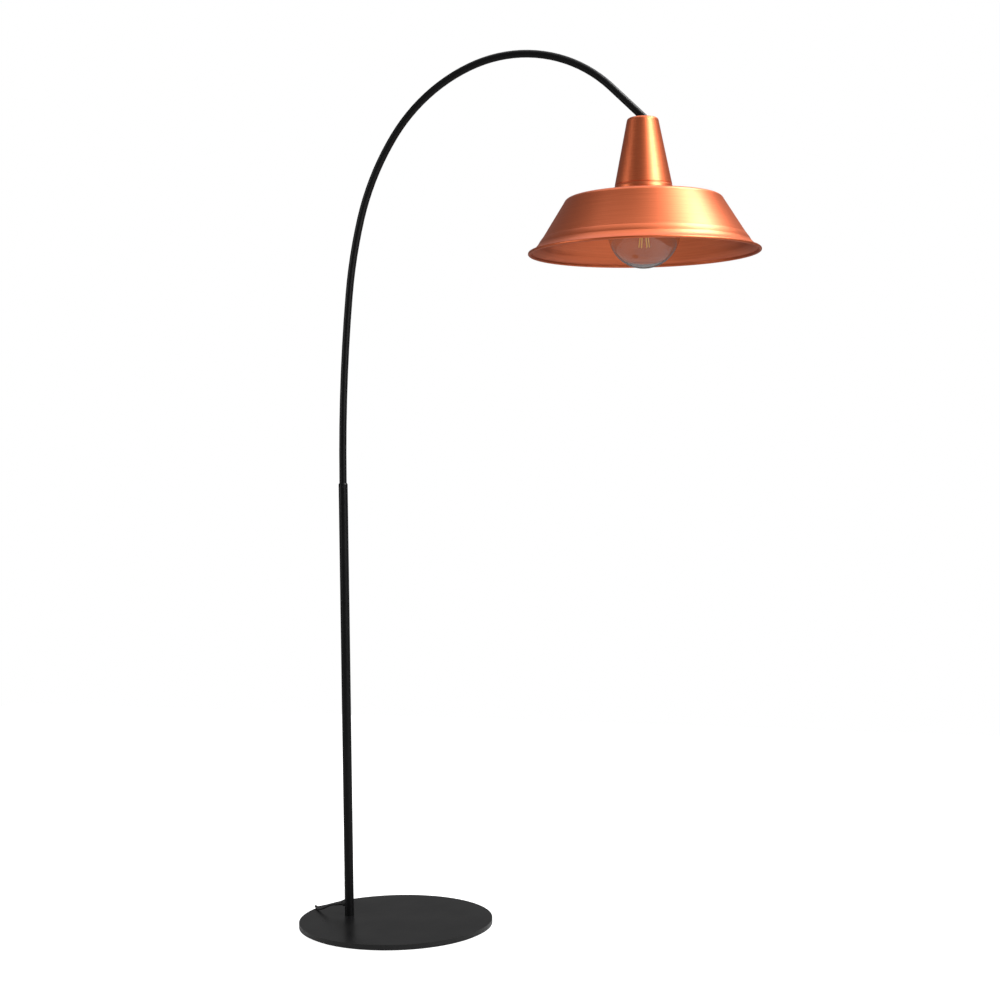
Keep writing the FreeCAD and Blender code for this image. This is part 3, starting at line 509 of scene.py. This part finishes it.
# ---------------------------------------------------------------- base, pole and arm
class LAMP_OT_stand(bpy.types.Operator):
    """Powder coat on the base disc, pole and arm, felt underneath, and the pole's fixings"""

    bl_idname = "lamp.stand"
    bl_label = "Base, pole and arm"

    def execute(self, context):
        look = context.scene.lamp_finish
        tube_coat = powder_coat("Powder coat, tubes", look.coat_colour, look.coat_roughness, 0.17)
        disc_coat = powder_coat("Powder coat, base disc", shaded(look.coat_colour, 1.5),
                                look.coat_roughness - 0.08, 0.42)
        dress(tube_coat, "lower_pole", "arm_tube", "arm_seat")
        dress(disc_coat, "base_plate")
        dress(felt("Felt underlay", (0.022, 0.022, 0.024)), "felt_underlay")
        zinc = plain_metal("Bright zinc", (0.62, 0.64, 0.68), 0.30, 700.0)
        dress(zinc, "bolt_washer", "pole_bolt", "pole_foot_plug", "lock_washer", "neck_nut",
              "holder_stem")
        dress(plain_metal("Black oxide", (0.035, 0.034, 0.036), 0.42, 900.0), "arm_set_screw",
              "stop_collar")
        dress(moulded("Nylon washer", (0.72, 0.70, 0.64), 0.45, 500.0, 0.0001), "thrust_washer")
        return {"FINISHED"}


# ---------------------------------------------------------------- copper shade
class LAMP_OT_shade(bpy.types.Operator):
    """Neck and bowl turned from sheet copper, with a wired rim, a step and a brushed face"""

    bl_idname = "lamp.shade"
    bl_label = "Copper shade"

    def execute(self, context):
        look = context.scene.lamp_finish
        sizes = context.scene.lamp_sizes
        copper = spun_copper("Brushed copper", look.copper_light, look.copper_deep,
                             look.copper_roughness, look.brush_pitch, SHADE_AXIS)
        self.make_neck(sizes, copper)
        self.make_bowl(sizes, copper)
        rivets = plain_metal("Rivet aluminium", (0.74, 0.74, 0.75), 0.36, 800.0)
        dress(rivets, "shade_rivet_1", "shade_rivet_2", "shade_rivet_3")
        return {"FINISHED"}

    def make_neck(self, sizes, copper):
        foot = NECK_LOW[2] / MM
        top = NECK_HIGH[2] / MM
        legs = [(5.0, top), (25.95, top), (32.8, top - 5.64, (30.4, top - 1.6)),
                (59.0, foot + 17.5),
                (59.0, foot + 15.1, (58.3, foot + 16.3)),
                (59.3, foot, (60.5, foot + 7.55)),
                (44.0, foot)]
        line = outline(legs)
        back = inside_of(line, sizes.neck_wall / MM)[::-1]
        shell = [point * MM for point in line + back]
        neck = turned("shade_neck_spun", shell, SHADE_AXIS, sizes.lathe_steps)
        finish_piece(neck, copper, "arm")
        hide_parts("shade_neck")

    def make_bowl(self, sizes, copper):
        """The outer line from the hole to the rim, round the wired edge, and back up inside."""
        foot = NECK_LOW[2] / MM
        rim = RIM_LEVEL / MM
        roll = 3.0
        reach = RIM_RADIUS / MM - roll
        crease_radius = 209.6
        crease_level = rim + 33.6
        legs = [(42.0, foot), (66.0, foot),
                (153.0, rim + 114.2, (111.0, rim + 121.2)),
                (164.5, rim + 106.0, (160.6, rim + 111.4)),
                (crease_radius, crease_level),
                (219.2, rim + 19.6, (215.2, rim + 26.6)),
                (221.4, rim + 17.2),
                (reach - 0.6, rim + 2 * roll - 0.1, (228.2, rim + 10.6))]
        line = outline(legs)
        back = inside_of(line, sizes.shade_wall / MM)[::-1]
        # a fine raised crease where the cone meets the flare
        crease = next(k for k, point in enumerate(line) if point.y < crease_level + 0.4)
        line[crease:crease + 1] = [
            Vector((crease_radius - 0.5, crease_level + 0.8)), Vector((crease_radius, crease_level + 0.6)),
            Vector((crease_radius + 0.4, crease_level - 0.3))]
        edge = []
        for step in range(15):
            turn = math.radians(82.0 - 250.0 * step / 14)
            edge.append(Vector((reach + roll * math.cos(turn), rim + roll + roll * math.sin(turn))))
        back = [point for point in back if (point - Vector((reach, rim + roll))).length > roll + 0.5]
        shell = [point * MM for point in line + edge + back]
        bowl = turned("shade_bowl_spun", shell, SHADE_AXIS, sizes.lathe_steps)
        finish_piece(bowl, copper, "arm")
        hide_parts("shade_bowl")


# ---------------------------------------------------------------- lampholder
class LAMP_OT_lampholder(bpy.types.Operator):
    """Plastic lampholder with its porcelain core, brass shell and contacts"""

    bl_idname = "lamp.lampholder"
    bl_label = "Lampholder"

    def execute(self, context):
        plastic = moulded("Black thermoplastic", (0.018, 0.018, 0.018), 0.42, 650.0, 0.0001)
        dress(plastic, "holder_cap", "holder_skirt", "gland_body", "gland_nut", "switch_body",
              "switch_rocker", "plug_body")
        dress(glazed("Porcelain", (0.84, 0.83, 0.79)), "holder_insert")
        brass = plain_metal("Brass", (0.80, 0.60, 0.26), 0.24, 600.0)
        dress(brass, "screw_shell", "centre_contact", "bulb_cap")
        dress(plain_metal("Nickel plate", (0.66, 0.64, 0.60), 0.26, 600.0), "plug_pin_1", "plug_pin_2")
        self.make_threads(context.scene.lamp_sizes, brass)
        return {"FINISHED"}

    def make_threads(self, sizes, brass):
        """Rolled rings of the screw shell, one under the other."""
        low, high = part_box("screw_shell")
        radius = (high[0] - low[0]) / 2
        grower = Grower("Rolled thread", (
            ("Rings", "NodeSocketInt", 6), ("Pitch", "NodeSocketFloat", 0.0038),
            ("Radius", "NodeSocketFloat", radius), ("Wire", "NodeSocketFloat", 0.0009),
            ("Material", "NodeSocketMaterial", brass)))
        ring = grower.add("GeometryNodeCurvePrimitiveCircle", Resolution=64, Radius=grower.value("Radius"))
        wire = grower.add("GeometryNodeCurvePrimitiveCircle", Resolution=10, Radius=grower.value("Wire"))
        tube = grower.add("GeometryNodeCurveToMesh", Curve=ring.outputs[0], Profile_Curve=wire.outputs[0])
        step = grower.add("ShaderNodeCombineXYZ", Z=grower.value("Pitch"))
        line = grower.add("GeometryNodeMeshLine", Count=grower.value("Rings"),
                          Start_Location=(SHADE_AXIS, 0.0, low[2] + 0.0025), Offset=step.outputs[0])
        rows = grower.add("GeometryNodeInstanceOnPoints", Points=line.outputs[0], Instance=tube.outputs[0])
        piece = grower.grow("shell_thread", rows.outputs[0])
        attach(piece, "arm")


# ---------------------------------------------------------------- globe bulb
class LAMP_OT_bulb(bpy.types.Operator):
    """Clear glass globe with its cap, glass mount, light sticks and wires"""

    bl_idname = "lamp.bulb"
    bl_label = "Globe bulb"

    def execute(self, context):
        sizes = context.scene.lamp_sizes
        glass = clear_glass("Clear glass", (0.84, 0.88, 0.90))
        self.blow_globe(sizes, glass)
        dress(clear_glass("Mount glass", (0.93, 0.95, 0.95), 0.02), "bulb_mount")
        dress(moulded("Black vitrite", (0.02, 0.02, 0.025), 0.12, 300.0, 0.0001, coat=0.6), "bulb_tip")
        sticks = phosphor("Yellow phosphor with painted glow", (0.92, 0.56, 0.10))
        dress(sticks, *[name for name in NODES if name.startswith("filament_")])
        self.make_wires(plain_metal("Nickel wire", (0.72, 0.70, 0.66), 0.28, 900.0))
        return {"FINISHED"}

    def blow_globe(self, sizes, glass):
        low = GLOBE_LOW[2]
        top = GLOBE_HIGH[2]
        radius = (GLOBE_HIGH[0] - GLOBE_LOW[0]) / 2
        middle = low + radius
        leave = math.radians(62.0)
        points = []
        for step in range(49):
            turn = -math.pi / 2 + (leave + math.pi / 2) * step / 48
            points.append(Vector((radius * math.cos(turn), middle + radius * math.sin(turn))))
        collar = 0.0126
        waist = top - 0.012
        tip = points[-1]
        through = Vector(((tip.x + collar) / 2 - 0.0043, (tip.y + waist) / 2 - 0.002))
        points += leg_points(tip, (collar, waist, through), 16)
        points.append(Vector((collar, top)))
        inner = [p - n for p, n in zip(points, self.normals(points, sizes.glass_wall))]
        shell = points + inner[::-1]
        shell[0].x = shell[-1].x = 0.0
        globe = turned("bulb_globe", shell, SHADE_AXIS, 128, closed=False)
        finish_piece(globe, glass, "arm")
        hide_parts("bulb_glass")

    def normals(self, points, wall):
        """Outward steps of one wall at each point of the glass line."""
        steps = []
        for k in range(len(points)):
            first = points[max(0, k - 1)]
            last = points[min(len(points) - 1, k + 1)]
            run = (last - first).normalized()
            steps.append(Vector((run.y, -run.x)) * wall)
        return steps

    def make_wires(self, metal):
        """Hair-thin wires from the glass mount out to the head of each light stick."""
        low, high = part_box("bulb_mount")
        grower = Grower("Stick wires", (
            ("Sticks", "NodeSocketInt", 6), ("Spread", "NodeSocketFloat", 0.0046),
            ("Wire", "NodeSocketFloat", 0.00025), ("Length", "NodeSocketFloat", 0.012),
            ("Material", "NodeSocketMaterial", metal)))
        ring = grower.add("GeometryNodeMeshCircle", Vertices=grower.value("Sticks"),
                          Radius=grower.value("Spread"))
        rod = grower.add("GeometryNodeMeshCylinder", Vertices=8, Radius=grower.value("Wire"),
                         Depth=grower.value("Length"))
        wires = grower.add("GeometryNodeInstanceOnPoints", Points=ring.outputs[0], Instance=rod.outputs[0])
        placed = grower.add("GeometryNodeTransform", Geometry=wires.outputs[0],
                            Translation=(SHADE_AXIS, 0.0, low[2] + 0.0045))
        piece = grower.grow("stick_wires", placed.outputs[0])
        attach(piece, "arm")


# ---------------------------------------------------------------- mains cord
# From the strain relief over the rim of the base and along the floor to the hank, in metres
LEAD_ROUTE = (
    (-0.1447, 0.0, 0.0350), (-0.1545, 0.0, 0.0333), (-0.165, 0.0022, 0.0281), (-0.1765, 0.0075, 0.0216),
    (-0.188, 0.015, 0.0174), (-0.1985, 0.026, 0.0164), (-0.2095, 0.0395, 0.0172), (-0.2165, 0.055, 0.0102),
    (-0.219, 0.074, 0.0046), (-0.2125, 0.095, 0.0030), (-0.2015, 0.115, 0.0028), (-0.1915, 0.133, 0.0032),
    (-0.1865, 0.1505, 0.0039), (-0.1888, 0.1675, 0.0037))
# From the hank through the switch to the plug: distance along the lay line, aside and level
TAIL_ROUTE = (
    (0.272, 0.0004, 0.0032), (0.287, -0.0006, 0.0042), (0.301, 0.0, 0.0070), (0.313, 0.0, 0.0070),
    (0.339, 0.0, 0.0070), (0.365, 0.0, 0.0070), (0.377, 0.0, 0.0070), (0.391, 0.0005, 0.0120),
    (0.405, 0.0, 0.01765), (0.417, 0.0, 0.01765))
LAY_TURN = math.radians(113.6)
HANK_START = 0.185
HANK_LIFT = 0.0012


def behind(along, aside, level):
    """Point on the floor line that runs back from the pole."""
    return Vector((POLE_AXIS + along * math.cos(LAY_TURN) - aside * math.sin(LAY_TURN),
                   along * math.sin(LAY_TURN) + aside * math.cos(LAY_TURN), level))


class LAMP_OT_cord(bpy.types.Operator):
    """Mains cord at its real length, its tied hank, and the grips moulded on its fittings"""

    bl_idname = "lamp.cord"
    bl_label = "Mains cord"

    def execute(self, context):
        sizes = context.scene.lamp_sizes
        sheath = moulded("Cord sheath", (0.016, 0.016, 0.016), 0.36, 1200.0, 0.00005)
        rubber = moulded("Soft rubber", (0.02, 0.02, 0.02), 0.6, 900.0, 0.00012)
        dress(rubber, "strain_relief")
        dress(woven("Hook-and-loop tape", (0.02, 0.02, 0.022)), "hank_tie_1", "hank_tie_2")
        dress(sheath, "pole_lead", "arm_lead", "cord_lead", "cord_hank", "cord_tail", "cord_end",
              "switch_lead")
        points = [Vector(p) for p in LEAD_ROUTE] + self.hank(sizes) + [behind(*p) for p in TAIL_ROUTE]
        cord = self.spline("mains_cord", points, sizes.cord_diameter / 2, sheath)
        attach(cord, "stand")
        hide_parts("cord_lead", "cord_hank", "cord_tail", "cord_end", "switch_lead")
        self.make_boot_rings(sizes, rubber)
        self.make_nut_ribs(sizes)
        return {"FINISHED"}

    def hank(self, sizes):
        """Control points of five long folds in three layers, wound on the floor behind the pole."""
        inner = sizes.hank_inner
        outer = inner + sizes.hank_pitch
        side = sizes.hank_pitch
        folds = [(side, outer), (side, inner), (0.0, inner), (-side, inner), (-side, outer), (0.0, outer)]
        level = HANK_LIFT + sizes.cord_diameter / 2 + outer
        far = HANK_START + sizes.hank_run
        lead_in = 0.007
        bends = 5
        points = []
        for (aside, radius), (next_aside, next_radius) in zip(folds, folds[1:]):
            points.append(behind(HANK_START + lead_in, aside, level - radius))
            points.append(behind(far - lead_in, aside, level - radius))
            points += self.fold(far, aside, radius, level, bends, 1)
            points.append(behind(far - lead_in, aside, level + radius))
            points.append(behind(HANK_START + lead_in, next_aside, level + next_radius))
            points += self.fold(HANK_START, next_aside, next_radius, level, bends, -1)
        aside, radius = folds[-1]
        points.append(behind(HANK_START + lead_in, aside, level - radius))
        points.append(behind(far - lead_in, aside, level - radius))
        return points

    def fold(self, middle, aside, radius, level, bends, side):
        """Half a turn of control points outside the arc that the cord follows."""
        points = []
        for k in range(bends):
            turn = math.pi * (k + 0.5) / bends
            reach = radius / math.cos(math.pi / 2 / bends)
            points.append(behind(middle + side * reach * math.sin(turn), aside,
                                 level - side * reach * math.cos(turn)))
        return points

    def spline(self, name, points, radius, material):
        curve = bpy.data.curves.new(name, "CURVE")
        curve.dimensions = "3D"
        line = curve.splines.new("NURBS")
        line.points.add(len(points) - 1)
        for control, point in zip(line.points, points):
            control.co = (*point, 1.0)
        line.order_u = 3
        line.use_endpoint_u = True
        line.resolution_u = 10
        curve.bevel_depth = radius
        curve.bevel_resolution = 5
        curve.use_fill_caps = True
        curve.materials.append(material)
        cord = bpy.data.objects.new(name, curve)
        bpy.context.scene.collection.objects.link(cord)
        return cord

    def make_boot_rings(self, sizes, rubber):
        """Soft rings along the tapered strain relief."""
        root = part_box("gland_nut")[0]
        level = centre_of("gland_nut").z
        wide = 0.0043
        long = 0.020
        grower = Grower("Boot rings", (
            ("Rings", "NodeSocketInt", sizes.boot_rings), ("Wire", "NodeSocketFloat", 0.0006),
            ("Material", "NodeSocketMaterial", rubber)))
        ring = grower.add("GeometryNodeCurvePrimitiveCircle", Resolution=40, Radius=1.0)
        section = grower.add("GeometryNodeCurvePrimitiveCircle", Resolution=10, Radius=grower.value("Wire"))
        line = grower.add("GeometryNodeMeshLine", {"mode": "END_POINTS"}, Count=grower.value("Rings"),
                          Start_Location=(0.0, 0.0, 0.0018), Offset=(0.0, 0.0, long - 0.0015))
        index = grower.add("GeometryNodeInputIndex")
        shrink = grower.add("ShaderNodeMath", {"operation": "MULTIPLY"})
        grower.tree.links.new(index.outputs[0], shrink.inputs[0])
        shrink.inputs[1].default_value = -(wide - 0.0033) / max(1, sizes.boot_rings - 1)
        grow = grower.add("ShaderNodeMath", {"operation": "ADD"})
        grower.tree.links.new(shrink.outputs[0], grow.inputs[0])
        grow.inputs[1].default_value = wide - 0.0004
        scale = grower.add("ShaderNodeCombineXYZ", X=grow.outputs[0], Y=grow.outputs[0], Z=1.0)
        rows = grower.add("GeometryNodeInstanceOnPoints", Points=line.outputs[0], Instance=ring.outputs[0],
                          Scale=scale.outputs[0])
        solid = grower.add("GeometryNodeRealizeInstances", Geometry=rows.outputs[0])
        tube = grower.add("GeometryNodeCurveToMesh", Curve=solid.outputs[0], Profile_Curve=section.outputs[0])
        placed = grower.add("GeometryNodeTransform", Geometry=tube.outputs[0],
                            Translation=(root[0], 0.0, level),
                            Rotation=(0.0, -math.pi / 2 - sizes.boot_sag, 0.0))
        piece = grower.grow("boot_rings", placed.outputs[0])
        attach(piece, "stand")

    def make_nut_ribs(self, sizes):
        """Grip ribs round the gland nut."""
        low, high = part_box("gland_nut")
        plastic = NODES["gland_nut"].data.materials[0]
        grower = Grower("Nut ribs", (
            ("Ribs", "NodeSocketInt", sizes.nut_ribs),
            ("Radius", "NodeSocketFloat", (high[2] - low[2]) / 2 - 0.0002),
            ("Rib", "NodeSocketFloat", 0.00055), ("Length", "NodeSocketFloat", high[0] - low[0] - 0.001),
            ("Material", "NodeSocketMaterial", plastic)))
        ring = grower.add("GeometryNodeMeshCircle", Vertices=grower.value("Ribs"),
                          Radius=grower.value("Radius"))
        rib = grower.add("GeometryNodeMeshCylinder", Vertices=10, Radius=grower.value("Rib"),
                         Depth=grower.value("Length"))
        ribs = grower.add("GeometryNodeInstanceOnPoints", Points=ring.outputs[0], Instance=rib.outputs[0])
        placed = grower.add("GeometryNodeTransform", Geometry=ribs.outputs[0],
                            Translation=((low[0] + high[0]) / 2, 0.0, (low[2] + high[2]) / 2),
                            Rotation=(0.0, -math.pi / 2, 0.0))
        piece = grower.grow("nut_ribs", placed.outputs[0])
        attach(piece, "stand")


# ---------------------------------------------------------------- studio
class LAMP_OT_studio(bpy.types.Operator):
    """Pale floor, soft lights and the camera"""

    bl_idname = "lamp.studio"
    bl_label = "Studio"

    def execute(self, context):
        studio = context.scene.lamp_studio
        self.make_camera(context.scene, studio)
        self.make_floor(studio)
        self.make_world(context.scene)
        context.scene.view_settings.view_transform = "Standard"
        self.area("Key softbox", (3.3, -1.15, 2.7), (0.55, 0.0, 1.5), 1.3, 2.0, studio.key_power)
        self.area("Fill softbox", (-2.6, -1.8, 1.9), (0.2, 0.0, 1.2), 1.1, 2.4, studio.fill_power)
        self.area("Top softbox", (0.2, 0.5, 4.2), (0.2, 0.0, 0.5), 3.0, 3.0, studio.top_power)
        self.area("Rim softbox", (2.0, 0.75, 4.0), (0.57, 0.0, 1.5), 1.2, 1.2, studio.rim_power)
        return {"FINISHED"}

    def make_camera(self, scene, studio):
        camera = bpy.data.objects.new("Camera", bpy.data.cameras.new("Camera"))
        camera.data.sensor_width = 36.0
        camera.data.lens = studio.lens
        scene.collection.objects.link(camera)
        level = Vector((math.cos(studio.camera_heading), math.sin(studio.camera_heading), 0.0))
        view = level * math.cos(studio.camera_pitch) - Vector((0, 0, math.sin(studio.camera_pitch)))
        right = Vector((level.y, -level.x, 0.0))
        upright = right.cross(view)
        up = upright * math.cos(studio.camera_roll) + right * math.sin(studio.camera_roll)
        across = view.cross(up)
        turn = Matrix((across, up, -view)).transposed().to_4x4()
        camera.matrix_world = Matrix.Translation(Vector(studio.camera_place)) @ turn
        scene.camera = camera

    def make_floor(self, studio):
        """Plain matt floor that mirrors little into the lamp and is white to the camera."""
        shader = Shader("Pale floor", Roughness=0.8, Base_Color=(0.46, 0.46, 0.46, 1.0),
                        Emission_Color=(1.0, 1.0, 1.0, 1.0))
        shader.bump(shader.noise(shader.place(), 40.0), 0.0003, 0.05)
        seen = shader.add("ShaderNodeLightPath").outputs["Is Camera Ray"]
        shader.feed(shader.bsdf, "Emission Strength", shader.math("MULTIPLY", seen, studio.floor_glow))
        mesh = bpy.data.meshes.new("Studio floor")
        half = studio.floor_half
        corners = [(-half, -half, 0.0), (half, -half, 0.0), (half, half, 0.0), (-half, half, 0.0)]
        mesh.from_pydata(corners, [], [(0, 1, 2, 3)])
        add_piece("Studio floor", mesh, shader.material)

    def make_world(self, scene):
        """White to the eye, with a softer grey room for the metal to mirror."""
        world = bpy.data.worlds.new("Studio")
        world.use_nodes = True
        scene.world = world
        nodes = world.node_tree.nodes
        links = world.node_tree.links
        room = nodes["Background"]
        coords = nodes.new("ShaderNodeTexCoord")
        part = nodes.new("ShaderNodeSeparateXYZ")
        links.new(coords.outputs["Generated"], part.inputs[0])
        ramp = nodes.new("ShaderNodeValToRGB")
        links.new(part.outputs["Z"], ramp.inputs[0])
        ramp.color_ramp.elements[0].color = (0.15, 0.15, 0.15, 1.0)
        ramp.color_ramp.elements[1].color = (0.22, 0.22, 0.22, 1.0)
        links.new(ramp.outputs[0], room.inputs["Color"])
        room.inputs["Strength"].default_value = 1.0
        backdrop = nodes.new("ShaderNodeBackground")
        backdrop.inputs["Color"].default_value = (1.0, 1.0, 1.0, 1.0)
        path = nodes.new("ShaderNodeLightPath")
        mix = nodes.new("ShaderNodeMixShader")
        links.new(path.outputs["Is Camera Ray"], mix.inputs[0])
        links.new(room.outputs[0], mix.inputs[1])
        links.new(backdrop.outputs[0], mix.inputs[2])
        links.new(mix.outputs[0], nodes["World Output"].inputs["Surface"])

    def area(self, name, place, target, wide, tall, power):
        data = bpy.data.lights.new(name, "AREA")
        data.shape = "RECTANGLE"
        data.size = wide
        data.size_y = tall
        data.energy = power
        light = bpy.data.objects.new(name, data)
        light.location = place
        light.rotation_euler = (Vector(target) - Vector(place)).to_track_quat("-Z", "Y").to_euler()
        bpy.context.scene.collection.objects.link(light)


# ---------------------------------------------------------------- panel and start
OPERATORS = (LAMP_OT_stand, LAMP_OT_shade, LAMP_OT_lampholder, LAMP_OT_bulb, LAMP_OT_cord, LAMP_OT_studio)


class LAMP_PT_panel(bpy.types.Panel):
    """Everything the lamp is made of, one button each."""

    bl_label = "Arc floor lamp"
    bl_idname = "LAMP_PT_panel"
    bl_space_type = "VIEW_3D"
    bl_region_type = "UI"
    bl_category = "Lamp"

    def draw(self, context):
        scene = context.scene
        for group in (scene.lamp_finish, scene.lamp_sizes, scene.lamp_studio):
            box = self.layout.box()
            for name in group.__annotations__:
                box.prop(group, name)
        for operator in OPERATORS:
            self.layout.operator(operator.bl_idname)


GROUPS = (("lamp_finish", LampFinish), ("lamp_sizes", LampSizes), ("lamp_studio", LampStudio))
CLASSES = (LampFinish, LampSizes, LampStudio) + OPERATORS + (LAMP_PT_panel,)


def register():
    for cls in CLASSES:
        bpy.utils.register_class(cls)
    for name, group in GROUPS:
        setattr(bpy.types.Scene, name, PointerProperty(type=group))


def unregister():
    for name, group in reversed(GROUPS):
        delattr(bpy.types.Scene, name)
    for cls in reversed(CLASSES):
        bpy.utils.unregister_class(cls)


def main():
    register()
    bpy.ops.lamp.studio()
    bpy.ops.lamp.stand()
    bpy.ops.lamp.shade()
    bpy.ops.lamp.lampholder()
    bpy.ops.lamp.bulb()
    bpy.ops.lamp.cord()


if __name__ == "__main__":
    main()
